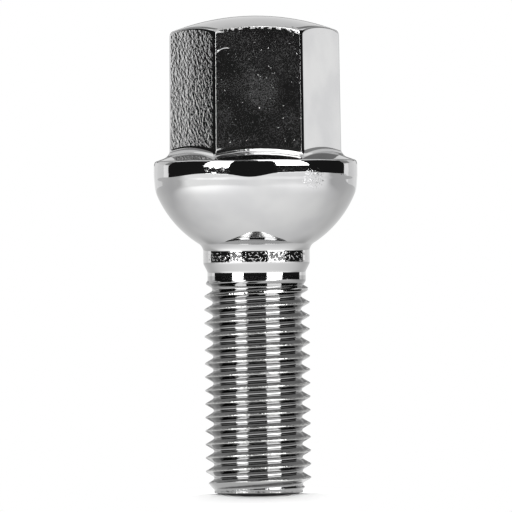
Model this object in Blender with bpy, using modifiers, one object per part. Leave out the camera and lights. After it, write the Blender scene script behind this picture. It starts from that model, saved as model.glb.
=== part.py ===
"""Lug bolt: one forged steel bolt with a hexagon head, a ball seat and a rolled right-hand thread.

It stands on the end of its thread. The origin is the centre of that end face, and +Z runs along
the axis to the head.
"""
from math import asin, cos, hypot, pi, radians, sin, sqrt, tan, tau

import bmesh
import bpy
from mathutils import Matrix

MM = 0.001

# Thread, right hand: its depth follows from the pitch, the two flats and the flanks' slope
THREAD_DIAMETER = 11.76 * MM
THREAD_PITCH = 1.5 * MM
THREAD_CREST = 0.16 * MM
THREAD_ROOT = 0.28 * MM
FLANK_ANGLE = radians(30)
THREAD_LENGTH = 23.8 * MM
FIRST_CREST = 0.3 * MM
END_CHAMFER = 1.31 * MM
END_ANGLE = radians(39.5)
RUNOUT_LENGTH = 1.9 * MM
RUNOUT_ANGLE = radians(20)

# Plain shank above the thread: the neck lies under the crests, the shoulder outside it
NECK_STEP = 0.39 * MM
NECK_LENGTH = 0.85 * MM
SHOULDER_STEP = 0.46 * MM
SHOULDER_LENGTH = 1.3 * MM
SHOULDER_ANGLE = radians(22.5)
SEAT_FILLET = 1.0 * MM

# Hexagon head
HEX_WIDTH = 16.7 * MM
HEX_HEIGHT = 13.75 * MM
HEX_DRAFT = radians(0.5)
HEX_CORNER_RADIUS = 0.78 * MM
HEX_ROOT_FILLET = 0.5 * MM
HEX_TURN = radians(2.6)
DOME_RADIUS = 25.6 * MM
DOME_ROUNDING = 0.28 * MM

# Collar, which stands out past the hexagon's corners, and the ball seat under it. The seat is
# a sphere of 12 mm radius: its centre lies SEAT_DROP above the collar's lower edge.
COLLAR_LEDGE = 1.838 * MM
COLLAR_HEIGHT = 2.5 * MM
COLLAR_ROUNDING = 0.5 * MM
CONE_ANGLE = radians(20)
SEAT_DROP = 3.867 * MM

# Smoothness
BODY_STEPS = 60
THREAD_STEPS = 30
BALL_STEPS = 9
FILLET_STEPS = 4
HEX_FLAT_STEPS = 6
HEX_CORNER_STEPS = 3
DOME_STEPS = 4
SHARP_ANGLE = radians(35)

# How far a hidden end reaches into the solid that it joins, and how far the head's fillet
# dips under the cone, at this slope
OVERLAP = 0.6 * MM
DIP = 0.1 * MM
DIP_ANGLE = radians(15)
WELD = 0.002 * MM

# Places along the axis, from the end face up
thread_depth = (THREAD_PITCH - THREAD_CREST - THREAD_ROOT) / (2 * tan(FLANK_ANGLE))
thread_radius = THREAD_DIAMETER / 2
root_radius = thread_radius - thread_depth
end_radius = thread_radius - END_CHAMFER
neck_radius = thread_radius - NECK_STEP
shoulder_radius = neck_radius + SHOULDER_STEP
corner_reach = (HEX_WIDTH / 2 - HEX_CORNER_RADIUS) / cos(pi / 6) + HEX_CORNER_RADIUS
collar_radius = corner_reach + COLLAR_LEDGE
ball_radius = hypot(collar_radius, SEAT_DROP)
neck_top = THREAD_LENGTH + NECK_LENGTH
shoulder_bottom = neck_top + (shoulder_radius - neck_radius) / tan(SHOULDER_ANGLE)
fillet_bottom = shoulder_bottom + SHOULDER_LENGTH
# The fillet's centre lies one fillet radius off the shank and off the ball
fillet_reach = shoulder_radius + SEAT_FILLET
ball_centre = fillet_bottom + sqrt((ball_radius + SEAT_FILLET) ** 2 - fillet_reach ** 2)
collar_bottom = ball_centre - SEAT_DROP
collar_top = collar_bottom + COLLAR_HEIGHT
# The cone's height on the axis, from its edge at the collar
cone_peak = collar_top + COLLAR_ROUNDING * (1 - sin(CONE_ANGLE)) / cos(CONE_ANGLE) \
    + collar_radius * tan(CONE_ANGLE)
hex_middle = cone_peak - HEX_WIDTH / 2 * tan(CONE_ANGLE) + HEX_HEIGHT / 2


def clear_scene():
    """Remove what the new file starts with."""
    for thing in list(bpy.data.objects):
        bpy.data.objects.remove(thing, do_unlink=True)


def new_collection(name):
    collection = bpy.data.collections.new(name)
    bpy.context.scene.collection.children.link(collection)
    return collection


def new_object(name, bm, collection):
    """Turn a bmesh into an object in the collection."""
    mesh = bpy.data.meshes.new(name)
    bm.to_mesh(mesh)
    bm.free()
    thing = bpy.data.objects.new(name, mesh)
    collection.objects.link(thing)
    return thing


def as_cutter(thing):
    """Show a helper solid as wires, and keep it out of the render."""
    thing.display_type = "WIRE"
    thing.hide_render = True
    return thing


def arc(centre_r, centre_z, radius, first, last, steps):
    """Points on an arc from one angle to another, measured from +X towards +Z."""
    turn = (last - first) / steps
    angles = [first + turn * step for step in range(steps + 1)]
    return [(centre_r + radius * cos(a), centre_z + radius * sin(a)) for a in angles]


def turned(name, profile, steps, collection):
    """A solid turned from a profile that starts and ends on the axis, outer side top to bottom."""
    bm = bmesh.new()
    verts = [bm.verts.new((r, 0, z)) for r, z in profile]
    for pair in zip(verts, verts[1:]):
        bm.edges.new(pair)
    thing = new_object(name, bm, collection)
    screw = thing.modifiers.new("Turn", "SCREW")
    screw.axis = "Z"
    screw.angle = tau
    screw.steps = steps
    screw.render_steps = steps
    screw.use_merge_vertices = True
    screw.merge_threshold = WELD
    return thing


def boolean(thing, operation, other):
    cut = thing.modifiers.new(operation.title() + " " + other.name, "BOOLEAN")
    cut.operation = operation
    cut.object = other
    cut.solver = "EXACT"


def cone_height(radius):
    """Height of the sloping face between the collar and the hexagon."""
    return cone_peak - radius * tan(CONE_ANGLE)


def body_profile():
    """Cone, collar, ball seat, shoulder, neck and the root that the thread closes round."""
    fillet_angle = asin(fillet_reach / (ball_radius + SEAT_FILLET))
    ball_end = fillet_angle - pi / 2
    ball_start = -asin(SEAT_DROP / ball_radius)
    rounding_r = collar_radius - COLLAR_ROUNDING
    rounding_start = pi / 2 - CONE_ANGLE
    buried_radius = root_radius - OVERLAP / 2
    thread_fade = THREAD_LENGTH - RUNOUT_LENGTH
    profile = [(0, cone_peak)]
    profile += arc(rounding_r, collar_top, COLLAR_ROUNDING, rounding_start, 0, FILLET_STEPS - 1)
    profile += arc(0, ball_centre, ball_radius, ball_start, ball_end, BALL_STEPS)
    profile += arc(fillet_reach, fillet_bottom, SEAT_FILLET, pi / 2 + fillet_angle, pi,
                   FILLET_STEPS)[1:]
    profile += [(shoulder_radius, shoulder_bottom), (neck_radius, neck_top)]
    profile += [(neck_radius, THREAD_LENGTH), (buried_radius, thread_fade), (0, thread_fade)]
    return profile


def envelope_profile():
    """What is left of the thread: it fades into the neck and is chamfered at its end."""
    outside = thread_radius + OVERLAP
    top = THREAD_LENGTH + OVERLAP / 2
    top_r = neck_radius - OVERLAP / 2
    fade = (outside - top_r) / tan(RUNOUT_ANGLE)
    chamfer = (outside - end_radius) / tan(END_ANGLE)
    return [(0, top), (top_r, top), (outside, top - fade), (outside, chamfer),
            (end_radius, 0), (0, 0)]


def thread_outline():
    """One pitch of the thread, from the foot of one flank to the foot of the next one."""
    flank = thread_depth * tan(FLANK_ANGLE)
    foot = FIRST_CREST - THREAD_CREST / 2 - flank
    return [(root_radius, foot), (thread_radius, foot + flank),
            (thread_radius, foot + flank + THREAD_CREST),
            (root_radius, foot + 2 * flank + THREAD_CREST), (root_radius, foot + THREAD_PITCH)]


def threaded_rod(name, collection):
    """The thread's outline carried up its helix, turn on turn, and closed on the axis."""
    turns = int(THREAD_LENGTH / THREAD_PITCH) + 5
    bm = bmesh.new()
    verts = [bm.verts.new((r, 0, z - 2 * THREAD_PITCH)) for r, z in thread_outline()]
    edges = [bm.edges.new(pair) for pair in zip(verts, verts[1:])]
    bmesh.ops.spin(bm, geom=verts + edges, cent=(0, 0, 0), axis=(0, 0, 1), angle=tau * turns,
                   dvec=(0, 0, THREAD_PITCH / THREAD_STEPS), steps=THREAD_STEPS * turns)
    bmesh.ops.remove_doubles(bm, verts=bm.verts, dist=WELD)
    middle = THREAD_LENGTH / 2
    for above in (False, True):
        rim = [e for e in bm.edges if e.is_boundary and (e.verts[0].co.z > middle) == above]
        end = bmesh.ops.extrude_edge_only(bm, edges=rim)["geom"]
        tips = [v for v in end if isinstance(v, bmesh.types.BMVert)]
        height = sum(v.co.z for v in tips) / len(tips)
        bmesh.ops.pointmerge(bm, verts=tips, merge_co=(0, 0, height))
    bmesh.ops.recalc_face_normals(bm, faces=bm.faces)
    # A small turn up the helix keeps the thread's edges off the edges of the turned solids
    turn = tau / BODY_STEPS / 4
    bmesh.ops.rotate(bm, verts=bm.verts, cent=(0, 0, 0), matrix=Matrix.Rotation(turn, 3, "Z"))
    bmesh.ops.translate(bm, verts=bm.verts, vec=(0, 0, THREAD_PITCH * turn / tau))
    return new_object(name, bm, collection)


def hex_outline(apothem):
    """A hexagon with rounded corners, anticlockwise."""
    corner_centre = (apothem - HEX_CORNER_RADIUS) / cos(pi / 6)
    points = []
    for side in range(6):
        corner = HEX_TURN + pi / 3 * side
        last = arc(corner_centre * cos(corner), corner_centre * sin(corner), HEX_CORNER_RADIUS,
                   corner - pi / 6, corner + pi / 6, HEX_CORNER_STEPS)
        if points:
            points += flat_between(points[-1], last[0])
        points += last
    return points + flat_between(points[-1], points[0])


def flat_between(start, end):
    """Points that divide the flat between two rounded corners."""
    shares = [step / HEX_FLAT_STEPS for step in range(1, HEX_FLAT_STEPS)]
    return [(start[0] + (end[0] - start[0]) * t, start[1] + (end[1] - start[1]) * t) for t in shares]


def drafted_apothem(height):
    """Half the width across flats, which grows slightly towards the collar."""
    return HEX_WIDTH / 2 - (height - hex_middle) * tan(HEX_DRAFT)


def wall_point(index, height_at, inset=0.0):
    """Where one outline point meets a surface that is given as height over radius."""
    height = hex_middle
    for _ in range(6):
        x, y = hex_outline(drafted_apothem(height) - inset)[index]
        height = height_at(hypot(x, y))
    return x, y, height


def dome_height(radius):
    """Height of the domed top over a radius."""
    rim = HEX_WIDTH / 2
    centre = hex_middle + HEX_HEIGHT / 2 - sqrt(DOME_RADIUS ** 2 - rim ** 2)
    return centre + sqrt(DOME_RADIUS ** 2 - radius ** 2)


def hex_rings():
    """The head's sections from the dome down to its fillet, each a list of points."""
    count = len(hex_outline(HEX_WIDTH / 2))
    rings = []
    rim = [wall_point(i, dome_height, DOME_ROUNDING) for i in range(count)]
    for step in range(1, DOME_STEPS):
        share = step / DOME_STEPS
        rings.append([(x * share, y * share, dome_height(hypot(x, y) * share)) for x, y, z in rim])
    # The rim turns from the dome's slope to the wall
    for step in range(FILLET_STEPS):
        turn = pi / 2 * step / (FILLET_STEPS - 1)
        inset = DOME_ROUNDING * (1 - sin(turn))
        drop = DOME_ROUNDING * (1 - cos(turn))
        rings.append([wall_point(i, lambda r: dome_height(r) - drop, inset) for i in range(count)])
    # The root fillet turns from the wall almost to the cone's slope
    for step in range(FILLET_STEPS + 1):
        turn = (pi / 2 - DIP_ANGLE) * step / FILLET_STEPS
        inset = -HEX_ROOT_FILLET * (1 - cos(turn))
        rise = HEX_ROOT_FILLET * (1 - sin(turn))
        rings.append([wall_point(i, lambda r: cone_height(r) + rise, inset) for i in range(count)])
    # It dips under the cone, and the hidden end drops into the collar
    inset -= (rise + DIP) / tan(DIP_ANGLE)
    for depth in (DIP, OVERLAP):
        rings.append([wall_point(i, lambda r: cone_height(r) - depth, inset) for i in range(count)])
    return rings


def hexagon(name, collection):
    """The head above the cone, lofted through its sections."""
    bm = bmesh.new()
    loops = []
    for ring in hex_rings():
        verts = [bm.verts.new(point) for point in ring]
        loops.append([bm.edges.new((verts[i - 1], verts[i])) for i in range(len(verts))])
    for upper, lower in zip(loops, loops[1:]):
        bmesh.ops.bridge_loops(bm, edges=upper + lower)
    for rim, height in ((loops[0], dome_height(0)), (loops[-1], collar_top)):
        end = bmesh.ops.extrude_edge_only(bm, edges=rim)["geom"]
        tips = [v for v in end if isinstance(v, bmesh.types.BMVert)]
        bmesh.ops.pointmerge(bm, verts=tips, merge_co=(0, 0, height))
    bmesh.ops.recalc_face_normals(bm, faces=bm.faces)
    return new_object(name, bm, collection)


def chrome_steel():
    """Chrome plate on steel."""
    material = bpy.data.materials.new("chrome_plated_steel")
    material.use_nodes = True
    shader = material.node_tree.nodes["Principled BSDF"]
    shader.inputs["Base Color"].default_value = (0.56, 0.57, 0.59, 1)
    shader.inputs["Metallic"].default_value = 1.0
    shader.inputs["Roughness"].default_value = 0.16
    return material


def finished(thing, material):
    """Keep the joined shape as the object's own mesh, smooth apart from its real edges."""
    shape = thing.evaluated_get(bpy.context.evaluated_depsgraph_get())
    mesh = bpy.data.meshes.new_from_object(shape)
    mesh.name = thing.name
    bm = bmesh.new()
    bm.from_mesh(mesh)
    bmesh.ops.remove_doubles(bm, verts=bm.verts, dist=WELD)
    bm.to_mesh(mesh)
    bm.free()
    thing.modifiers.clear()
    thing.data = mesh
    mesh.materials.clear()
    mesh.materials.append(material)
    mesh.shade_smooth()
    mesh.set_sharp_from_angle(angle=SHARP_ANGLE)


def main():
    clear_scene()
    part = new_collection("lug bolt")
    helpers = new_collection("helpers")
    thread = threaded_rod("thread", helpers)
    boolean(thread, "INTERSECT", as_cutter(turned("thread_envelope", envelope_profile(),
                                                  BODY_STEPS, helpers)))
    bolt = turned("lug_bolt", body_profile(), BODY_STEPS, part)
    boolean(bolt, "UNION", as_cutter(thread))
    boolean(bolt, "UNION", as_cutter(hexagon("hexagon", helpers)))
    finished(bolt, chrome_steel())


main()
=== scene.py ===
"""Looks of the lug bolt: chrome plate over forged, turned and rolled steel, on a pale floor."""
from math import asin, atan2, ceil, cos, degrees, hypot, pi, radians, sin, sqrt, tan, tau

import bmesh
import bpy
from bmesh.types import BMEdge, BMFace, BMVert
from bpy.props import FloatProperty, IntProperty, PointerProperty, StringProperty
from bpy.types import Operator, Panel, PropertyGroup
from mathutils import Matrix, Vector, noise


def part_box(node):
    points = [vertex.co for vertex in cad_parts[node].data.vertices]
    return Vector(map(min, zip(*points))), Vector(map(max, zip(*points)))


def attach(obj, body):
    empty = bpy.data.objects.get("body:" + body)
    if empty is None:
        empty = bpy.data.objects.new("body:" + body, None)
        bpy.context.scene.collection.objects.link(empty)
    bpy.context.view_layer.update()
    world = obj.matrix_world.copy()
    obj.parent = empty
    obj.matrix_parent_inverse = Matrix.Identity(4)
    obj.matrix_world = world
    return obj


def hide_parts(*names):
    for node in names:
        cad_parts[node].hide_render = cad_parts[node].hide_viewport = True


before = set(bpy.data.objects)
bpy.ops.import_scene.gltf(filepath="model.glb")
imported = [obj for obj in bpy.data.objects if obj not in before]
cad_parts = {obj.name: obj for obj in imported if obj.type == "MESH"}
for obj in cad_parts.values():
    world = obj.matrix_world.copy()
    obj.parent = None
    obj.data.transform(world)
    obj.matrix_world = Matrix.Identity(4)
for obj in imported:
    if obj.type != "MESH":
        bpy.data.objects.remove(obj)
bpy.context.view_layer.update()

bl_info = {
    "name": "Lug bolt looks",
    "version": (1, 0, 0),
    "blender": (4, 5, 0),
    "location": "View3D > Sidebar > Lug bolt",
    "description": "Builds the chrome-plated lug bolt and the stage that it stands on",
    "category": "Object",
}

MM = 0.001
WELD = 0.0005 * MM

# The mesh's plates, and which of them each flat has: the first flat faces right and back, and
# they go anticlockwise seen from above
BRIGHT, PEELED, STRUCK, EDGE, FOOT, SHOULDER, THREAD = range(7)
FLAT_FINISHES = (BRIGHT, PEELED, BRIGHT, PEELED, STRUCK, BRIGHT)

# How far the collar's lower edge is off its height, in mm, by degrees from the front
COLLAR_WAVES = (
    (-180, 0), (-130, 0.12), (-90, -0.1), (-58, -0.2), (-30, 0.15), (-18, 0.05), (-3, -0.3),
    (14, 0.16), (28, 0.22), (60, 0.04), (100, -0.15), (140, 0.1), (180, 0))
WAVE_REACH = 0.8 * MM

# Marks on the plate, in mm, then which way the forged flat faces and runs, and which way the
# pressed flat faces
PITTED_SPOT = (6.5, -9.25, 34.8)
HAZY_SPOT = (0.4, -8.4, 44.6)
NICK_CENTRE, NICK_RADIUS = (-3.1, 0, 48.27), 1.317
PEELED_FACING, PEELED_ALONG = (-0.84, -0.54, 0), (0.54, -0.84, 0)
PRESSED_FACING = (0.05, -1, 0)

# The burr on a crest at the left: radians from +X, height, distance from the axis, reach, depth
BURR_TURN, BURR_HEIGHT, BURR_RADIUS = 3.0, 2.4 * MM, 5.8 * MM
BURR_REACH, BURR_DEPTH = 1.2 * MM, 0.16 * MM

# Rings of the head's surfaces, and the height up to which the shoulder's plate reaches
DOME_RINGS, RIM_RINGS, FLAT_RINGS, ROOT_RINGS, CONE_RINGS = 13, 8, 12, 9, 5
SHOULDER_PLATE_TOP = 27.3 * MM
# Share of the crown's angle at which its arc takes over from the cone edge's rounding
CROWN_START = 0.88
# The slope to the ball ends this much above the corner where it would meet the ball's tangent
SLOPE_LEAD = 0.6 * MM
# Noise with scale 1 has lumps about half a unit across
LUMP_SIZE = 0.5

# The floor, in metres: where its shadow fades to plain white, and how the floor that the plate
# sees glows in two pools, is dimmer behind the bolt and dark under it
SHADOW_STRETCH, SHADOW_START, SHADOW_END = (1, 0.35, 0), 0.004, 0.013
GLOW_POOLS = (((-0.12, -0.095, 0), 0.6), ((0.13, -0.137, 0), 0.3))
POOL_START, POOL_END = 0.03, 0.15
SHADED_SPOT, SHADED_START, SHADED_END, SHADED_DEPTH = (0, 0.035, 0), 0.008, 0.03, 0.6
UNDER_START, UNDER_END, UNDER_GLOW = 0.0046, 0.0056, 0.05

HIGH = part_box("lug_bolt")[1]
REACH, TOP = HIGH[0], HIGH[2]


def length(name, description, default):
    """A size that a user may change, in metres."""
    return FloatProperty(name=name, description=description, default=default, unit="LENGTH",
                         precision=5)


def angle(name, description, default):
    return FloatProperty(name=name, description=description, default=radians(default),
                         subtype="ANGLE")


class HeadSizes(PropertyGroup):
    """The hexagon, its domed top and the cone and collar that it stands on."""
    width: length("Width across flats", "At mid height", 16.7 * MM)
    draft: angle("Draft", "Slope of the flats, wider at the bottom", 0.5)
    corner: length("Corner radius", "Rounding of the upright edges", 0.8 * MM)
    sharp: length("Sharp radius", "Of the left edge's part beside the pressed flat", 0.06 * MM)
    keen: length("Keen radius", "Of the right edge's part beside it", 0.02 * MM)
    soft: length("Soft radius", "Of these two edges' other parts", 1.15 * MM)
    soft_turn: angle("Soft turn", "How much of an edge's turn the soft part makes", 25)
    turn: angle("Turn", "How far the hexagon is turned about the axis", 2.6)
    dome: length("Dome radius", "Sphere of the domed top", 25.6 * MM)
    rim: length("Rim rounding", "Between dome and flat, at mid flat", 0.07 * MM)
    rim_corner: length("Rim rounding at the corners", "Between dome and corner", 0.3 * MM)
    rim_drop: length("Rim drop", "How much higher than wide the rim's rounding is", 0.17 * MM)
    root: length("Root fillet", "At the foot of the flats", 0.55 * MM)
    cone: angle("Cone angle", "Slope of the face round the hexagon", 20)
    cone_edge: length("Cone edge", "Height of the cone at its outer edge", 37.115 * MM)
    edge_reach: length("Cone edge radius", "Where the cone meets the collar's crown", 11.13 * MM)
    edge_round: length("Cone edge rounding", "Rounding of that edge", 0.11 * MM)
    crown: length("Crown radius", "Rounding of the collar's upper part", 1.3 * MM)
    crown_angle: angle("Crown angle", "Slope of the crown at the cone's edge", 31)
    land_end: length("End of the land", "Height where the collar starts to narrow", 35.53 * MM)
    taper: angle("Collar taper", "Slope of the collar below its land", 4.2)
    seat_start: angle("Seat start", "Where the ball takes over, below its centre", 23.6)


class ShankSizes(PropertyGroup):
    """The ball seat, the plain shank under it and the thread."""
    ball: length("Seat radius", "Radius of the ball seat", 12.0 * MM)
    ball_centre: length("Seat centre", "Height of the ball's centre", 38.046 * MM)
    fillet: length("Seat fillet", "Between ball and shoulder", 1.0 * MM)
    shoulder: length("Shoulder radius", "Radius of the plain shoulder", 5.95 * MM)
    shoulder_end: length("Shoulder end", "Height where the shoulder narrows", 25.82 * MM)
    neck: length("Neck radius", "Radius of the neck over the thread", 5.49 * MM)
    neck_top: length("Neck top", "Height where the neck starts", 24.66 * MM)
    neck_end: length("Neck end", "Height where the thread starts", 24.3 * MM)
    run_out: length("Run-out", "Height where the thread has run out", 23.85 * MM)
    crest: length("Thread radius", "Radius over the crests", 5.88 * MM)
    pitch: length("Pitch", "Rise of one turn", 1.5 * MM)
    crest_round: length("Crest rounding", "Radius of the crests", 0.09 * MM)
    root_round: length("Root rounding", "Radius of the roots", 0.27 * MM)
    first_crest: length("First crest", "Height of a crest on the +X side", 0.3 * MM)
    end: length("End radius", "Radius of the flat end face", 4.57 * MM)
    end_edge: length("End rounding", "Between chamfer and end face", 0.14 * MM)
    chamfer: angle("Chamfer", "Slope of the end chamfer off the axis", 39.5)


class Fineness(PropertyGroup):
    """How many faces the bolt is made of."""
    flat_steps: IntProperty(name="Flat steps", description="Divisions of one flat", default=28)
    corner_steps: IntProperty(name="Corner steps", description="Divisions of a corner",
                              default=12)
    turn_steps: IntProperty(name="Turn steps", description="Divisions of a thread turn",
                            default=128)


class StageSettings(PropertyGroup):
    """Camera, floor and the cards that show in the plate."""
    camera_distance: length("Camera distance", "From the bolt's axis", 1.2)
    camera_height: length("Camera height", "Over the floor", 0.025)
    view_width: length("View width", "Width of the picture at the bolt", 57.06 * MM)
    view_height: length("View height", "Height of the picture's middle", 26.5 * MM)
    view_side: length("View side", "How far right of the axis the picture's middle is",
                      -0.05 * MM)
    camera_roll: angle("Camera roll", "Tilt of the picture", 0.57)
    floor_colour: StringProperty(name="Floor colour", description="sRGB hex", default="CDCDCD")
    room_light: FloatProperty(name="Room light", description="Light from all round", default=4.2)
    room_shine: FloatProperty(name="Room in reflections", description="Brightness of the room",
                              default=1.0)
    floor_shine: FloatProperty(name="Floor in reflections", description="Its brightness",
                               default=1.55)
    floor_shade: FloatProperty(name="Floor behind", description="Its brightness behind the bolt",
                               default=0.8)
    side_shine: FloatProperty(name="Side light", description="Low light at both sides",
                              default=1.45)
    dim_side: FloatProperty(name="Dim side light", description="Further round both sides",
                            default=1.1)
    side_shade: FloatProperty(name="Side shade", description="Above the low side light",
                              default=0.4)
    back_shade: FloatProperty(name="Back shade", description="Low behind the bolt", default=0.3)
    dome_shine: FloatProperty(name="Dome light", description="Card that shows in the dome",
                              default=0.87)
    dark_shine: FloatProperty(name="Dark wall", description="Its faint light", default=0.018)
    high_shine: FloatProperty(name="High lamp", description="Its radiance", default=6.0)
    lamp_shine: FloatProperty(name="Lamp brightness", description="Radiance of the lamp cards",
                              default=8.0)
    card_distance: length("Card distance", "From the bolt's axis", 0.7)
    floor_fall: length("Floor fall", "How low the floor's far edge shows in reflections", 0.005)
    floor_tilt: angle("Floor tilt", "How the floor falls in front of the bolt", 5.0)


def linear(hex_colour):
    """An sRGB hex colour as linear red, green, blue and alpha."""
    shares = [int(hex_colour[i:i + 2], 16) / 255 for i in (0, 2, 4)]
    return [s / 12.92 if s <= 0.04045 else ((s + 0.055) / 1.055) ** 2.4 for s in shares] + [1.0]


def add_node(tree, kind, inputs=(), **settings):
    """Adds a node. Inputs maps a socket's name or number to a value or to an output socket."""
    node = tree.nodes.new(kind)
    for name, value in settings.items():
        setattr(node, name, value)
    for name, value in dict(inputs).items():
        if isinstance(value, bpy.types.NodeSocket):
            tree.links.new(value, node.inputs[name])
        else:
            node.inputs[name].default_value = value
    return node


def arc(centre_r, centre_z, radius, first, last, steps):
    """Points on an arc from one angle to another, measured from +X towards +Z."""
    turn = (last - first) / steps
    angles = [first + turn * step for step in range(steps + 1)]
    return [(centre_r + radius * cos(a), centre_z + radius * sin(a)) for a in angles]


def rounded_corner(before, corner, after, steps):
    """Points of a curve that leaves one point towards a corner and arrives at another from it."""
    points = []
    for step in range(1, steps):
        share = step / steps
        weights = (1 - share) ** 2, 2 * share * (1 - share), share ** 2
        pulls = list(zip(weights, (before, corner, after)))
        points.append(tuple(sum(weight * point[axis] for weight, point in pulls)
                            for axis in (0, 1)))
    return points


def ease(share):
    """Goes from 0 to 1 with level ends."""
    share = min(max(share, 0.0), 1.0)
    return share * share * (3 - 2 * share)


def soft_slope(share, bend=0.22):
    """Goes from 0 to 1 in a straight slope with a short bend at each end."""
    if share < bend:
        return share ** 2 / (2 * bend * (1 - bend))
    if share > 1 - bend:
        return 1 - (1 - share) ** 2 / (2 * bend * (1 - bend))
    return (share - bend / 2) / (1 - bend)


class HexagonLoft:
    """Where the head's surface lies, for each place along the hexagon's outline."""

    def __init__(self, head, fineness):
        self.head = head
        self.corner_steps = fineness.corner_steps
        self.side_steps = fineness.corner_steps + fineness.flat_steps
        self.count = 6 * self.side_steps
        self.half = head.width / 2
        self.reach = (self.half - head.corner) / cos(pi / 6) + head.corner
        self.dome_centre = TOP - head.dome
        self.cone_peak = head.cone_edge + head.edge_reach * tan(head.cone)
        rim_height = self.dome_height(self.half)
        self.middle = (rim_height + self.cone_height(self.half)) / 2

    def dome_height(self, radius):
        return self.dome_centre + sqrt(self.head.dome ** 2 - radius ** 2)

    def cone_height(self, radius):
        return self.cone_peak - radius * tan(self.head.cone)

    def outline(self, place, apothem):
        """One point of a hexagon with rounded corners and this half width."""
        side, step = divmod(place, self.side_steps)
        if step <= self.corner_steps:
            return self.corner_point(side, pi / 3 * (step / self.corner_steps - 0.5), apothem)
        share = (step - self.corner_steps) / (self.side_steps - self.corner_steps)
        x0, y0 = self.corner_point(side, pi / 6, apothem)
        x1, y1 = self.corner_point((side + 1) % 6, -pi / 6, apothem)
        return x0 + (x1 - x0) * share, y0 + (y1 - y0) * share

    def corner_parts(self, side, inset=0.0):
        """Radii of a corner's two parts, and where they meet, as a turn from its middle."""
        inset = max(inset, 0.0)
        if FLAT_FINISHES[side] == STRUCK:
            return self.head.soft, self.head.sharp + inset, self.head.soft_turn - pi / 6
        if FLAT_FINISHES[side - 1] == STRUCK:
            return self.head.keen + inset, self.head.soft, pi / 6 - self.head.soft_turn
        return self.head.corner, self.head.corner, 0.0

    def corner_point(self, side, turn, apothem):
        """Where the corner's surface faces this far from its middle, within 30 degrees."""
        before, after, split = self.corner_parts(side, self.half - apothem - self.head.sharp)
        first, second = before * (1 - cos(pi / 6 + split)), after * (1 - cos(pi / 6 - split))
        radius = before if turn < split else after
        out = (apothem - (first + second) / 2) / cos(pi / 6) + radius * (cos(turn) - cos(split))
        along = first - second + radius * (sin(turn) - sin(split))
        corner = self.head.turn + pi / 3 * side
        return out * cos(corner) - along * sin(corner), out * sin(corner) + along * cos(corner)

    def on_wall(self, place, height_at, inset=0.0):
        """Where the drafted wall, moved in by the inset, meets a height over radius."""
        height = self.middle
        for _ in range(4):
            apothem = self.half - (height - self.middle) * tan(self.head.draft) - inset
            x, y = self.outline(place, apothem)
            height = height_at(hypot(x, y))
        return Vector((x, y, height))

    def rim_rounding(self, place):
        """The rim is rounder at the corners than at mid flat."""
        radius = hypot(*self.outline(place, self.half))
        share = (radius - self.half) / (self.reach - self.half)
        return self.head.rim + (self.head.rim_corner - self.head.rim) * share ** 3

    def on_dome(self, place, share):
        """A share of the way from the dome's middle to the start of its rounded rim."""
        x, y, _ = self.on_wall(place, self.dome_height, self.rim_rounding(place))
        return Vector((x * share, y * share, self.dome_height(hypot(x, y) * share)))

    def on_rim(self, place, share):
        rounding, turn = self.rim_rounding(place), pi / 2 * share
        drop = (rounding + self.head.rim_drop) * (1 - cos(turn))
        return self.on_wall(place, lambda r: self.dome_height(r) - drop,
                            rounding * (1 - sin(turn)))

    def on_flat(self, place, share):
        """A share of the way down the flat, from its rounded rim to its root fillet."""
        top = self.on_rim(place, 1)
        bottom = self.on_root(place, 0)
        height = top.z + (bottom.z - top.z) * share
        return self.on_wall(place, lambda r: height)

    def on_root(self, place, share):
        fillet, turn = self.head.root, pi / 2 * share
        rise = fillet * (1 - sin(turn))
        return self.on_wall(place, lambda r: self.cone_height(r) + rise,
                            -fillet * (1 - cos(turn)))

    def on_cone(self, place, share):
        """A share of the way from the root fillet's edge to the collar's edge."""
        start = self.on_root(place, 1)
        edge = self.head.edge_reach - self.head.edge_round
        bearing = atan2(start.y, start.x)
        x = start.x + (edge * cos(bearing) - start.x) * share
        y = start.y + (edge * sin(bearing) - start.y) * share
        return Vector((x, y, self.cone_height(hypot(x, y))))

    def wave(self, bearing, height):
        """The collar's lower edge isn't quite level."""
        turn = (degrees(bearing) + 90 + 180) % 360 - 180
        share = 1 - abs(height - self.head.land_end) / WAVE_REACH
        return between(COLLAR_WAVES, turn) * MM * ease(share)

    def finish(self, surface, place):
        """Which plate a place has: worn round the pressed flat, else by its flat."""
        side, step = divmod(place, self.side_steps)
        if surface in ("on_dome", "on_cone"):
            return BRIGHT
        if step >= self.corner_steps:
            if surface == "on_flat":
                return FLAT_FINISHES[side]
            if FLAT_FINISHES[side] != STRUCK:
                return BRIGHT
            return EDGE if surface == "on_rim" else FOOT
        before, after, split = self.corner_parts(side)
        turn = pi / 3 * ((step + 0.5) / self.corner_steps - 0.5)
        return EDGE if (before if turn < split else after) <= self.head.sharp else BRIGHT

    def bearing(self, place):
        start = self.on_root(place, 1)
        return atan2(start.y, start.x)


def head_stations():
    """The head's rings from the dome down, each the name of its surface and a share of it."""
    stations = [("on_dome", step / DOME_RINGS) for step in range(1, DOME_RINGS)]
    stations += [("on_rim", step / RIM_RINGS) for step in range(RIM_RINGS + 1)]
    stations += [("on_flat", share) for share in (0.012, 0.03)]
    stations += [("on_flat", step / FLAT_RINGS) for step in range(1, FLAT_RINGS)]
    stations += [("on_flat", share) for share in (0.97, 0.988)]
    stations += [("on_root", step / ROOT_RINGS) for step in range(ROOT_RINGS + 1)]
    stations += [("on_cone", step / CONE_RINGS) for step in range(1, CONE_RINGS + 1)]
    return stations


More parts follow.
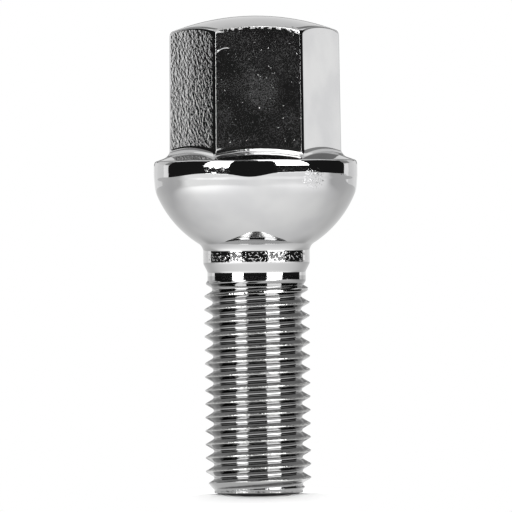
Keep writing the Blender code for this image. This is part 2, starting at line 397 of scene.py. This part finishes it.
def narrowing(head, shank):
    """From the collar's land a short bend, a straight slope and a long bend to the ball."""
    slope, bend = tan(head.taper), 0.03 * MM
    points = [(REACH - slope * (bend * share) ** 2 / (2 * bend), head.land_end - bend * share)
              for share in (0, 0.25, 0.5, 0.75, 1)]
    line_r = REACH + slope * bend / 2
    sine, cosine = sin(head.seat_start), cos(head.seat_start)
    tangent_r = (shank.ball - (shank.ball_centre - head.land_end) * sine) / cosine
    drop = (tangent_r - line_r) / (tan(head.seat_start) - slope)
    corner = line_r - slope * drop, head.land_end - drop
    seat = shank.ball * cosine, shank.ball_centre - shank.ball * sine
    start = line_r - slope * (drop - SLOPE_LEAD), corner[1] + SLOPE_LEAD
    points += [(points[-1][0] + (start[0] - points[-1][0]) * share,
                points[-1][1] + (start[1] - points[-1][1]) * share) for share in (0.33, 0.67, 1)]
    return points + rounded_corner(start, corner, seat, 9)


def turned_profile(head, shank):
    """Collar, ball seat, shoulder and neck, from the collar's rounding down."""
    ball, fillet = shank.ball, shank.fillet
    reach = shank.shoulder + fillet
    fillet_angle = asin(reach / (ball + fillet))
    fillet_z = shank.ball_centre - sqrt((ball + fillet) ** 2 - reach ** 2)
    crown_z = head.cone_edge - head.crown * sin(head.crown_angle)
    start_r = head.edge_reach - head.edge_round
    start_z = head.cone_edge + head.edge_round * tan(head.cone)
    crown = arc(REACH - head.crown, crown_z, head.crown, head.crown_angle * CROWN_START, 0, 9)
    profile = rounded_corner((start_r, start_z), (head.edge_reach, head.cone_edge), crown[0], 5)
    profile += crown
    land = crown_z - head.land_end
    profile += [(REACH, crown_z - land * share) for share in (0.3, 0.65, 0.9)]
    profile += narrowing(head, shank)
    profile += arc(0, shank.ball_centre, ball, -head.seat_start, fillet_angle - pi / 2, 34)
    profile += arc(reach, fillet_z, fillet, pi / 2 + fillet_angle, pi, 10)[1:]
    shoulder = fillet_z - shank.shoulder_end
    profile += [(shank.shoulder, fillet_z - shoulder * share) for share in (0.05, 0.5, 0.95, 1)]
    fall = shank.shoulder_end - shank.neck_top
    for step in range(1, 19):
        share = step / 18
        radius = shank.shoulder - (shank.shoulder - shank.neck) * soft_slope(share)
        profile.append((radius, shank.shoulder_end - fall * share))
    neck = shank.neck_top - shank.neck_end
    profile += [(shank.neck, shank.neck_top - neck * share) for share in (0.2, 0.6)]
    return profile


def of_kind(items, kind):
    """The verts, edges or faces among what an operator made."""
    return [item for item in items if isinstance(item, kind)]


def extruded_ring(bm, ring, point_at, place_layer, finish_at):
    """Extrudes a ring of edges, moves the new one to where its surface says, and paints it."""
    new = bmesh.ops.extrude_edge_only(bm, edges=ring)["geom"]
    for vert in of_kind(new, BMVert):
        vert.co = point_at(vert[place_layer])
    for face in of_kind(new, BMFace):
        places = sorted({vert[place_layer] for vert in face.verts})
        face.material_index = finish_at(places[-1] if places[-1] - places[0] > 1 else places[0])
    return [edge for edge in of_kind(new, BMEdge) if edge.is_boundary]


def close_ring(bm, ring, point):
    """Closes a ring of edges with a fan to one point."""
    new = bmesh.ops.extrude_edge_only(bm, edges=ring)["geom"]
    bmesh.ops.pointmerge(bm, verts=of_kind(new, BMVert), merge_co=point)


def model_head(bm, loft, profile):
    """Dome, hexagon, cone, collar, seat and neck as one skin, open at the neck's end."""
    place_layer = bm.verts.layers.int.new("place")
    start = bmesh.ops.create_circle(bm, cap_ends=False, segments=loft.count, radius=REACH)
    for place, vert in enumerate(start["verts"]):
        vert[place_layer] = place
        vert.co = loft.on_dome(place, 1 / DOME_RINGS)
    first = list({edge for vert in start["verts"] for edge in vert.link_edges})
    ring = first
    for surface, share in head_stations()[1:]:
        ring = extruded_ring(bm, ring, lambda place: getattr(loft, surface)(place, share),
                             place_layer, lambda place: loft.finish(surface, place))
    bearings = [loft.bearing(place) for place in range(loft.count)]
    for radius, height in profile:
        finish = BRIGHT if height > SHOULDER_PLATE_TOP else SHOULDER
        ring = extruded_ring(
            bm, ring, lambda place: Vector((radius * cos(bearings[place]),
                                            radius * sin(bearings[place]),
                                            height + loft.wave(bearings[place], height))),
            place_layer, lambda place: finish)
    close_ring(bm, [edge for edge in first if edge.is_boundary], (0, 0, loft.dome_height(0)))


def thread_outline(shank):
    """One pitch of the thread: root and crest arcs joined by straight 60 degree flanks."""
    slope = pi / 6
    sharp = shank.crest + shank.crest_round
    depth = shank.pitch / 2 / tan(slope)
    crest = arc(0, 0, shank.crest_round, -pi / 3, pi / 3, 6)
    root = arc(0, 0, shank.root_round, -pi / 3, pi / 3, 6)
    crest_r = sharp - shank.crest_round / sin(slope)
    root_r = sharp - depth + shank.root_round / sin(slope)
    points = [(root_r - r, z) for r, z in root[3:]]
    points += [(crest_r + r, shank.pitch / 2 + z) for r, z in crest]
    points += [(root_r - r, shank.pitch + z) for r, z in root[:4]]
    full = []
    for (r0, z0), (r1, z1) in zip(points, points[1:]):
        full.append((r0, z0))
        if hypot(r1 - r0, z1 - z0) > 0.3 * MM:
            full += [(r0 + (r1 - r0) * s, z0 + (z1 - z0) * s) for s in (0.1, 0.36, 0.64, 0.9)]
    return full + [points[-1]]


def between(points, place):
    """Reads a value off a short list of (place, value) points, eased from one to the next."""
    before, first = points[0]
    for after, second in points[1:]:
        if place <= after:
            return first + (second - first) * ease((place - before) / (after - before))
        before, first = after, second
    return first


def thread_limits(shank, height):
    """Least and greatest radius at a height: the thread runs out at the neck and is chamfered."""
    start = shank.run_out
    root = shank.crest + shank.crest_round - shank.pitch / 2 / tan(pi / 6) + shank.root_round
    crest = shank.crest
    low = between([(start - 1.6 * MM, root), (start - 1.0 * MM, root + 0.07 * MM),
                   (start, shank.neck)], height)
    high = between([(start - 2.0 * MM, crest), (start - 1.0 * MM, crest - 0.17 * MM),
                    (start - 0.4 * MM, crest - 0.21 * MM), (start, shank.neck)], height)
    return low, min(high, shank.end + height * tan(shank.chamfer))


def roll_wear(height, bearing, crest_share):
    """The crests' uneven edge, rolled and a little battered, with one burr on the left."""
    aside = (abs(bearing) - BURR_TURN) * BURR_RADIUS
    burr = ease(1 - hypot(aside, height - BURR_HEIGHT) / BURR_REACH)
    fine = noise.noise(Vector((cos(bearing), sin(bearing), height / (1.2 * MM))) * 9)
    coarse = noise.noise(Vector((cos(bearing), sin(bearing), height / (4 * MM))) * 3)
    wear = 0.016 * MM * fine + 0.012 * MM * coarse
    return crest_share * (wear - BURR_DEPTH * burr * abs(fine))


def model_thread(bm, shank, steps):
    """One turn of the thread carried up its helix, repeated, and cut level at both ends."""
    outline = thread_outline(shank)
    foot = shank.first_crest - shank.pitch / 2 - 2 * shank.pitch
    verts = [bm.verts.new((r, 0, foot + z)) for r, z in outline]
    edges = [bm.edges.new(pair) for pair in zip(verts, verts[1:])]
    bmesh.ops.spin(bm, geom=verts + edges, cent=(0, 0, 0), axis=(0, 0, 1), angle=tau,
                   dvec=(0, 0, shank.pitch / steps), steps=steps)
    turn = bm.verts[:] + bm.edges[:] + bm.faces[:]
    for count in range(1, ceil(shank.neck_end / shank.pitch) + 4):
        copied = bmesh.ops.duplicate(bm, geom=turn)["geom"]
        bmesh.ops.translate(bm, verts=of_kind(copied, BMVert), vec=(0, 0, shank.pitch * count))
    bmesh.ops.remove_doubles(bm, verts=bm.verts, dist=WELD)
    for height in (0, 0.1, 0.22, 0.36, 0.52, 0.7, 0.9):
        bmesh.ops.bisect_plane(bm, geom=bm.verts[:] + bm.edges[:] + bm.faces[:], dist=WELD,
                               plane_co=(0, 0, shank.run_out - height * MM), plane_no=(0, 0, 1))
    middle = shank.crest - 0.45 * MM
    for vert in bm.verts:
        radius, bearing = hypot(vert.co.x, vert.co.y), atan2(vert.co.y, vert.co.x)
        low, high = thread_limits(shank, vert.co.z)
        crest_share = ease((radius - middle) / (shank.crest - middle))
        worn = radius + roll_wear(vert.co.z, bearing, crest_share)
        fresh = max(low, min(high, worn))
        vert.co.x *= fresh / radius
        vert.co.y *= fresh / radius
    for height, normal in ((shank.neck_end, 1), (shank.end_edge, -1)):
        bmesh.ops.bisect_plane(bm, geom=bm.verts[:] + bm.edges[:] + bm.faces[:], dist=WELD,
                               plane_co=(0, 0, height), plane_no=(0, 0, normal), clear_outer=True)


def open_edges(bm, low, high):
    return [edge for edge in bm.edges if edge.is_boundary and low < edge.verts[0].co.z < high]


def round_end(bm, ring, shank):
    """The small rounding from the chamfer to the flat end face, and that face."""
    start = shank.end + shank.end_edge * tan(shank.chamfer)
    edge = shank.end_edge
    for radius, height in ((start - 0.28 * edge, 0.55 * edge), (start - 0.62 * edge, 0.2 * edge),
                           (start - 1.1 * edge, 0.03 * edge), (start - 1.6 * edge, 0),
                           (start - 2.6 * edge, 0), (start / 2, 0)):
        new = bmesh.ops.extrude_edge_only(bm, edges=ring)["geom"]
        for vert in of_kind(new, BMVert):
            scale = radius / hypot(vert.co.x, vert.co.y)
            vert.co = (vert.co.x * scale, vert.co.y * scale, height)
        ring = [edge for edge in of_kind(new, BMEdge) if edge.is_boundary]
    close_ring(bm, ring, (0, 0, 0))


def chrome_plate(name, roughness=0.035):
    """Chrome plate on steel: a hard grey mirror that keeps what lies under it."""
    material = bpy.data.materials.new(name)
    material.use_nodes = True
    tree = material.node_tree
    shader = tree.nodes["Principled BSDF"]
    shader.inputs["Base Color"].default_value = linear("B1B1B1")
    shader.inputs["Metallic"].default_value = 1.0
    shader.inputs["Roughness"].default_value = roughness
    place = add_node(tree, "ShaderNodeTexCoord").outputs["Object"]
    return material, tree, shader, scaled(tree, place, (1 / MM,) * 3)


def scaled(tree, place, factors):
    """A place stretched along each axis."""
    return add_node(tree, "ShaderNodeVectorMath", {0: place, 1: factors},
                    operation="MULTIPLY").outputs["Vector"]


def measured(tree, operation, place, other=(0, 0, 0)):
    """A number from a place, such as its DISTANCE from another."""
    return add_node(tree, "ShaderNodeVectorMath", {0: place, 1: other},
                    operation=operation).outputs["Value"]


def part_of(tree, place, axis):
    """A place's measure along one axis."""
    return add_node(tree, "ShaderNodeSeparateXYZ", {"Vector": place}).outputs[axis]


def shaded_colour(tree, share, first, second):
    """A hex colour that goes over into another."""
    return add_node(tree, "ShaderNodeMix", {"Factor": share, 6: linear(first), 7: linear(second)},
                    data_type="RGBA").outputs[2]


def grain(tree, in_mm, size, detail=2.0, lean=None):
    """Noise from 0 to 1 whose lumps are about this many millimetres across.

    A lean holds the facing of their surface, how far they lean and their width over length.
    """
    place = in_mm
    if lean:
        facing, turn, squeeze = lean
        turned = add_node(tree, "ShaderNodeVectorRotate",
                          {"Vector": in_mm, "Axis": facing, "Angle": radians(turn)},
                          rotation_type="AXIS_ANGLE").outputs["Vector"]
        place = scaled(tree, turned, (1, 1, squeeze))
    return add_node(tree, "ShaderNodeTexNoise", {"Vector": place, "Scale": LUMP_SIZE / size,
                                                 "Detail": detail}).outputs["Fac"]


def ramp(tree, value, low, high, start=0.0, end=1.0):
    """Goes from start to end while the value goes from low to high."""
    return add_node(tree, "ShaderNodeMapRange",
                    {"Value": value, "From Min": low, "From Max": high, "To Min": start,
                     "To Max": end}, interpolation_type="SMOOTHSTEP").outputs["Result"]


def combine(tree, operation, first, second):
    return add_node(tree, "ShaderNodeMath", {0: first, 1: second},
                    operation=operation).outputs["Value"]


def bump(tree, shader, heights):
    """Stacks bumps, each a height from 0 to 1 with its depth in millimetres."""
    normal = None
    for height, depth in heights:
        inputs = {"Height": height, "Distance": depth * MM, "Strength": 1.0}
        if normal:
            inputs["Normal"] = normal
        normal = add_node(tree, "ShaderNodeBump", inputs).outputs["Normal"]
    tree.links.new(normal, shader.inputs["Normal"])


def bright_plate():
    """Plate on turned steel: a clean mirror with a faint orange-peel skin."""
    material, tree, shader, in_mm = chrome_plate("chrome_on_turned_steel")
    cloud = ramp(tree, grain(tree, in_mm, 2.4), 0.3, 0.7)
    tree.links.new(shaded_colour(tree, cloud, "ACACAD", "B6B6B6"), shader.inputs["Base Color"])
    axial = part_of(tree, in_mm, "Z")
    upset = combine(tree, "MULTIPLY", ramp(tree, axial, 34.9, 35.3),
                    ramp(tree, axial, 37.1, 37.4, 1, 0))
    patch = measured(tree, "DISTANCE", in_mm, PITTED_SPOT)
    pits = combine(tree, "MULTIPLY", ramp(tree, grain(tree, in_mm, 0.1), 0.52, 0.75),
                   ramp(tree, patch, 0.8, 1.7, 1, 0))
    lumps = combine(tree, "MULTIPLY", grain(tree, in_mm, 0.9), upset)
    ripple = combine(tree, "MULTIPLY", grain(tree, in_mm, 0.16), upset)
    bump(tree, shader, [(grain(tree, in_mm, 1.2), 0.006), (lumps, 0.02), (ripple, 0.0014),
                        (pits, 0.013), (grain(tree, in_mm, 0.12), 0.0005)])
    return material


def peeled_plate():
    """Plate on forged steel: the skin is coarse, like orange peel, with slanting lumps."""
    material, tree, shader, in_mm = chrome_plate("chrome_on_forged_steel", 0.08)
    lumps = grain(tree, in_mm, 0.19, 2.0, (PEELED_FACING, -40, 0.8))
    along = measured(tree, "DOT_PRODUCT", in_mm, PEELED_ALONG)
    bump(tree, shader, [(ramp(tree, along, -1.0, 9.0, 1, 0), 0.25), (lumps, 0.065),
                        (grain(tree, in_mm, 0.07), 0.005)])
    return material


def struck_plate():
    """Plate on a pressed flat: dark and clear, with a haze of fine scratches and specks."""
    material, tree, shader, in_mm = chrome_plate("chrome_on_pressed_steel")
    spot = measured(tree, "DISTANCE", in_mm, HAZY_SPOT)
    haze = ramp(tree, spot, 0.3, 3.4, 0.13, 0.07)
    cloud = ramp(tree, grain(tree, in_mm, 1.6), 0.4, 0.65, 0, 0.03)
    dust = ramp(tree, grain(tree, in_mm, 0.09, 1.0), 0.4, 0.7, 0, 0.06)
    rough = combine(tree, "ADD", combine(tree, "ADD", haze, cloud), dust)
    tree.links.new(rough, shader.inputs["Roughness"])
    specks = ramp(tree, grain(tree, in_mm, 0.1, 1.0), 0.72, 0.86)
    lines = grain(tree, in_mm, 0.05, 1.0, (PRESSED_FACING, -48, 0.1))
    crossing = grain(tree, in_mm, 0.06, 1.0, (PRESSED_FACING, 52, 0.1))
    bump(tree, shader, [(specks, 0.01), (lines, 0.0016), (crossing, 0.0012),
                        (nick(tree, in_mm), 0.028)])
    return material


def nick(tree, in_mm):
    """A short curved dent near the pressed flat's upper left corner, 1 along its middle."""
    away = measured(tree, "DISTANCE", scaled(tree, in_mm, (1, 0, 1)), NICK_CENTRE)
    off = combine(tree, "ABSOLUTE", combine(tree, "SUBTRACT", away, NICK_RADIUS), 0.0)
    ends = combine(tree, "MULTIPLY", ramp(tree, part_of(tree, in_mm, "Z"), 49.0, 49.25),
                   ramp(tree, part_of(tree, in_mm, "X"), -3.1, -2.7, 1, 0))
    return combine(tree, "MULTIPLY", ramp(tree, off, 0.0, 0.09, 1, 0), ends)


def edge_plate():
    """Plate on the hexagon's edges and foot: dented and worn, so lights break up on it."""
    material, tree, shader, in_mm = chrome_plate("chrome_on_worn_edges")
    dents = ramp(tree, grain(tree, in_mm, 0.22), 0.5, 0.6, 0.08, 0.42)
    tree.links.new(dents, shader.inputs["Roughness"])
    bump(tree, shader, [(grain(tree, in_mm, 1.2), 0.03), (grain(tree, in_mm, 0.25), 0.05),
                        (grain(tree, in_mm, 0.12), 0.008)])
    return material


def foot_plate():
    """Plate in the pressed flat's root fillet, which sinks a little towards the left."""
    material, tree, shader, in_mm = chrome_plate("chrome_on_root_fillet", 0.12)
    across = measured(tree, "DOT_PRODUCT", in_mm, (1, 0, 4))
    bump(tree, shader, [(ramp(tree, across, 142.6, 150.8), 0.2), (grain(tree, in_mm, 0.8), 0.03),
                        (grain(tree, in_mm, 0.25), 0.012)])
    return material


def shoulder_plate():
    """Plate on the shank's blasted shoulder: fine pits that glitter."""
    material, tree, shader, in_mm = chrome_plate("chrome_on_blasted_steel")
    pits = ramp(tree, grain(tree, in_mm, 0.14, 1.0), 0.54, 0.72)
    axial = part_of(tree, in_mm, "Z")
    blasted = combine(tree, "MULTIPLY", ramp(tree, axial, 25.6, 25.9),
                      ramp(tree, axial, 26.85, 27.05, 1, 0))
    bump(tree, shader, [(combine(tree, "MULTIPLY", pits, blasted), 0.011)])
    return material


def thread_plate():
    """Plate on the rolled thread: smooth flanks, and crests that are rough from handling. Its
    flanks and roots are painted a darker grey than its crests, as painted shade in the grooves.
    """
    material, tree, shader, in_mm = chrome_plate("chrome_on_rolled_thread", 0.07)
    radius = measured(tree, "LENGTH", scaled(tree, in_mm, (1, 1, 0)))
    crest = ramp(tree, radius, 5.6, 5.85)
    # Painted shade: below the crests the grey is darker, standing in for the shade in the
    # thread's grooves
    tree.links.new(shaded_colour(tree, crest, "929292", "B4B4B3"), shader.inputs["Base Color"])
    axial = part_of(tree, in_mm, "Z")
    rough = combine(tree, "MAXIMUM", crest, ramp(tree, axial, 0.9, 1.5, 0.6, 0))
    knocks = combine(tree, "MULTIPLY", grain(tree, in_mm, 0.16), rough)
    bump(tree, shader, [(knocks, 0.05), (grain(tree, in_mm, 0.4), 0.002)])
    return material


def model_bolt(settings):
    """The head and the thread, each grown by itself and then bridged at the neck."""
    shank = settings.shank
    head = bmesh.new()
    loft = HexagonLoft(settings.head, settings.fineness)
    model_head(head, loft, turned_profile(settings.head, shank))
    joined = bpy.data.meshes.new("head")
    head.to_mesh(joined)
    head.free()
    bm = bmesh.new()
    model_thread(bm, shank, settings.fineness.turn_steps)
    for face in bm.faces:
        face.material_index = THREAD
    round_end(bm, open_edges(bm, 0, shank.neck_end / 2), shank)
    bm.from_mesh(joined)
    bpy.data.meshes.remove(joined)
    bmesh.ops.bridge_loops(bm, edges=open_edges(bm, shank.neck_end / 2, TOP))
    bmesh.ops.recalc_face_normals(bm, faces=bm.faces)
    for face in bm.faces:
        face.smooth = True
    return bm


class OBJECT_OT_plated_bolt(Operator):
    """Build the bolt's finished surface, one closed skin from dome to thread end"""
    bl_idname = "object.plated_bolt"
    bl_label = "Plated bolt"

    def execute(self, context):
        bm = model_bolt(context.scene.lug_bolt)
        mesh = bpy.data.meshes.new("plated_bolt")
        bm.to_mesh(mesh)
        bm.free()
        bolt = bpy.data.objects.new("plated_bolt", mesh)
        context.scene.collection.objects.link(bolt)
        for plate in (bright_plate, peeled_plate, struck_plate, edge_plate, foot_plate,
                      shoulder_plate, thread_plate):
            mesh.materials.append(plate())
        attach(bolt, "root")
        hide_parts("lug_bolt")
        return {"FINISHED"}


def glowing(name, strength):
    """A card's even glow."""
    material = bpy.data.materials.new(name)
    material.use_nodes = True
    tree = material.node_tree
    tree.nodes.clear()
    glow = add_node(tree, "ShaderNodeEmission", {"Color": (1, 1, 1, 1), "Strength": strength})
    add_node(tree, "ShaderNodeOutputMaterial", {"Surface": glow.outputs["Emission"]})
    return material


def floor_material(stage):
    """Pale floor: it keeps the bolt's shadow near it and is plain white further out."""
    material = bpy.data.materials.new("pale_floor")
    material.use_nodes = True
    tree = material.node_tree
    tree.nodes.clear()
    paint = add_node(tree, "ShaderNodeBsdfDiffuse", {"Color": linear(stage.floor_colour)})
    white = add_node(tree, "ShaderNodeEmission", {"Color": (1, 1, 1, 1), "Strength": 1.0})
    place = add_node(tree, "ShaderNodeTexCoord").outputs["Object"]
    far = measured(tree, "LENGTH", scaled(tree, place, SHADOW_STRETCH))
    share = ramp(tree, far, SHADOW_START, SHADOW_END)
    path = add_node(tree, "ShaderNodeLightPath").outputs
    mirrored = combine(tree, "MAXIMUM", path["Is Glossy Ray"], path["Is Transmission Ray"])
    seen = combine(tree, "MAXIMUM", path["Is Camera Ray"], mirrored)
    mix = add_node(tree, "ShaderNodeMixShader", {"Fac": combine(tree, "MULTIPLY", share, seen),
                                                 1: paint.outputs["BSDF"],
                                                 2: white.outputs["Emission"]})
    add_node(tree, "ShaderNodeOutputMaterial", {"Surface": mix.outputs["Shader"]})
    return material


def stage_object(name, bm, material, card=True):
    """Links a stage piece. A card shows only in reflections, and the floor only elsewhere."""
    mesh = bpy.data.meshes.new(name)
    bm.to_mesh(mesh)
    bm.free()
    piece = bpy.data.objects.new(name, mesh)
    bpy.context.scene.collection.objects.link(piece)
    mesh.materials.append(material)
    piece.visible_camera = not card
    piece.visible_diffuse = not card
    piece.visible_shadow = not card
    piece.visible_glossy = card
    return piece


def add_floor(stage):
    bm = bmesh.new()
    bmesh.ops.create_grid(bm, x_segments=2, y_segments=2, size=6.0)
    fall_start, fall_end = 2.7 * MM, 60 * MM
    for depth in (fall_start, fall_end):
        bmesh.ops.bisect_plane(bm, geom=bm.verts[:] + bm.edges[:] + bm.faces[:],
                               plane_co=(0, -depth, 0), plane_no=(0, 1, 0))
    for vert in bm.verts:
        fall = min(max(-vert.co.y, fall_start), fall_end) - fall_start
        vert.co.z = -0.01 * MM - fall * tan(stage.floor_tilt)
    stage_object("floor", bm, floor_material(stage), card=False)


def floor_glow(stage):
    """The floor's glow in reflections: brightest near the lamps, dark under the bolt."""
    material = glowing("floor_glow", stage.floor_shine)
    tree = material.node_tree
    place = add_node(tree, "ShaderNodeTexCoord").outputs["Object"]
    depth = part_of(tree, place, "Y")
    level = ramp(tree, depth, -0.05, 0.05, stage.floor_shine, stage.floor_shade)
    for pool, glow in GLOW_POOLS:
        away = measured(tree, "DISTANCE", place, pool)
        level = combine(tree, "ADD", level, ramp(tree, away, POOL_START, POOL_END, glow, 0))
    behind = measured(tree, "DISTANCE", place, SHADED_SPOT)
    shaded = ramp(tree, behind, SHADED_START, SHADED_END, SHADED_DEPTH, 0)
    level = combine(tree, "SUBTRACT", level, shaded)
    under = ramp(tree, measured(tree, "LENGTH", place), UNDER_START, UNDER_END, UNDER_GLOW, 1)
    level = combine(tree, "MULTIPLY", level, under)
    tree.links.new(level, tree.nodes["Emission"].inputs["Strength"])
    return material


def add_floor_card(stage):
    """The floor as the plate mirrors it: it ends at the dark wall and falls a little."""
    bm = bmesh.new()
    bmesh.ops.create_circle(bm, cap_ends=True, segments=96, radius=stage.card_distance)
    for vert in bm.verts:
        vert.co.z = -stage.floor_fall - 0.2 * MM
    bmesh.ops.poke(bm, faces=bm.faces)
    centre = min(bm.verts, key=lambda vert: hypot(vert.co.x, vert.co.y))
    centre.co.z = -0.2 * MM
    stage_object("floor_card", bm, floor_glow(stage))


def add_wall(name, first, last, low, high, distance, material):
    """An upright card bent round the bolt. Bearing 0 is the camera's side, right is positive."""
    bm = bmesh.new()
    turn = last - first
    foot = Vector((distance * sin(first), -distance * cos(first), low))
    verts = [bm.verts.new(foot), bm.verts.new(foot + Vector((0, 0, high - low)))]
    edge = bm.edges.new(verts)
    bmesh.ops.spin(bm, geom=verts + [edge], cent=(0, 0, 0), axis=(0, 0, 1), angle=turn,
                   steps=max(1, round(turn / radians(3))))
    return stage_object(name, bm, material)


def light_room(stage):
    """White to the camera, and a set brightness as light and in reflections."""
    world = bpy.data.worlds.new("room")
    bpy.context.scene.world = world
    world.use_nodes = True
    tree = world.node_tree
    tree.nodes.clear()
    path = add_node(tree, "ShaderNodeLightPath").outputs
    mirrored = combine(tree, "MAXIMUM", path["Is Glossy Ray"], path["Is Transmission Ray"])
    shown = add_node(tree, "ShaderNodeMix", {"Factor": mirrored,
                                             "A": stage.room_light, "B": stage.room_shine})
    level = add_node(tree, "ShaderNodeMix", {"Factor": path["Is Camera Ray"],
                                             "A": shown.outputs["Result"], "B": 1.0})
    glow = add_node(tree, "ShaderNodeBackground", {"Color": (1, 1, 1, 1),
                                                   "Strength": level.outputs["Result"]})
    add_node(tree, "ShaderNodeOutputWorld", {"Surface": glow.outputs["Background"]})


def place_camera(stage):
    data = bpy.data.cameras.new("camera")
    data.sensor_width = 36
    data.lens = data.sensor_width * stage.camera_distance / stage.view_width
    data.clip_start = 0.01
    data.clip_end = 100
    camera = bpy.data.objects.new("camera", data)
    bpy.context.scene.collection.objects.link(camera)
    spot = Vector((stage.view_side, -stage.camera_distance, stage.camera_height))
    aim = Vector((stage.view_side, 0, stage.view_height)) - spot
    turn = aim.to_track_quat("-Z", "Y").to_matrix().to_4x4()
    roll = Matrix.Rotation(-stage.camera_roll, 4, "Z")
    camera.matrix_world = Matrix.Translation(spot) @ turn @ roll
    bpy.context.scene.camera = camera


class OBJECT_OT_bolt_stage(Operator):
    """Set the floor, the dark wall with its lamp cards, the room and the camera"""
    bl_idname = "object.bolt_stage"
    bl_label = "Stage"

    def execute(self, context):
        stage = context.scene.lug_bolt.stage
        add_floor(stage)
        add_floor_card(stage)
        black = glowing("black_card", stage.dark_shine)
        lamp = glowing("lamp_card", stage.lamp_shine)
        high_lamp = glowing("high_lamp_card", stage.high_shine)
        side = glowing("side_card", stage.side_shine)
        dim_side = glowing("dim_side_card", stage.dim_side)
        dome_back = glowing("dome_back_card", stage.dome_shine)
        shade = glowing("shade_card", stage.side_shade)
        back = glowing("back_card", stage.back_shade)
        foot, far = -stage.floor_fall, stage.card_distance
        near, above = far * 0.98, 0.5
        for name, first, last, low, high, distance, glow in (
                ("dark_wall", -116, 120, foot, 0.9, far, black),
                ("left_lamp", -60, -30, 0.053, 0.9, near, lamp),
                ("right_lamp", 24, 62, 0.07, 0.9, near, lamp),
                ("left_low_lamp", -59, -31, foot, 0.0247, near, lamp),
                ("right_low_lamp", 24, 62, foot, 0.0247, near, lamp),
                ("high_lamp", 4, 60, 0.72, 2.6, above, high_lamp),
                ("high_dark", -60, 4, 0.72, 2.6, above, black),
                ("left_side", -128, -117, foot, 0.16, far, side),
                ("right_side", 120, 130, foot, 0.16, far, side),
                ("left_dim_side", -155, -128, foot, 0.16, far, dim_side),
                ("right_dim_side", 130, 155, foot, 0.16, far, dim_side),
                ("left_shade", -126, -116, 0.16, 0.52, far, shade),
                ("right_shade", 120, 136, 0.16, 0.52, far, shade),
                ("left_upper", -155, -116, 0.52, 0.9, far, side),
                ("right_upper", 120, 155, 0.52, 0.9, far, side),
                ("left_back_shade", -172, -155, 0.16, 0.62, far, back),
                ("right_back_shade", 155, 172, 0.16, 0.62, far, back),
                ("back_card", 165, 195, 0.06, 0.16, far, back),
                ("dome_back", 172, 188, 0.16, 0.9, far, dome_back)):
            wall = add_wall(name, radians(first), radians(last), low, high, distance, glow)
            # It also keeps light off the floor, so that the bolt's shadow is dark
            if name == "dark_wall":
                wall.visible_diffuse = wall.visible_shadow = True
        light_room(stage)
        place_camera(stage)
        context.scene.view_settings.view_transform = "Standard"
        return {"FINISHED"}


class LugBoltSettings(PropertyGroup):
    """Everything that a user may change."""
    head: PointerProperty(type=HeadSizes)
    shank: PointerProperty(type=ShankSizes)
    fineness: PointerProperty(type=Fineness)
    stage: PointerProperty(type=StageSettings)


class VIEW3D_PT_lug_bolt(Panel):
    """The bolt's builders in the sidebar"""
    bl_idname = "VIEW3D_PT_lug_bolt"
    bl_label = "Lug bolt"
    bl_space_type = "VIEW_3D"
    bl_region_type = "UI"
    bl_category = "Lug bolt"

    def draw(self, context):
        for operator in BUILDERS:
            self.layout.operator(operator.bl_idname)


BUILDERS = (OBJECT_OT_plated_bolt, OBJECT_OT_bolt_stage)
CLASSES = (HeadSizes, ShankSizes, Fineness, StageSettings, LugBoltSettings) + BUILDERS + (
    VIEW3D_PT_lug_bolt,)


def register():
    for entry in CLASSES:
        bpy.utils.register_class(entry)
    bpy.types.Scene.lug_bolt = PointerProperty(type=LugBoltSettings)


def unregister():
    del bpy.types.Scene.lug_bolt
    for entry in reversed(CLASSES):
        bpy.utils.unregister_class(entry)


def main():
    register()
    bpy.ops.object.plated_bolt()
    bpy.ops.object.bolt_stage()


if __name__ == "__main__":
    main()
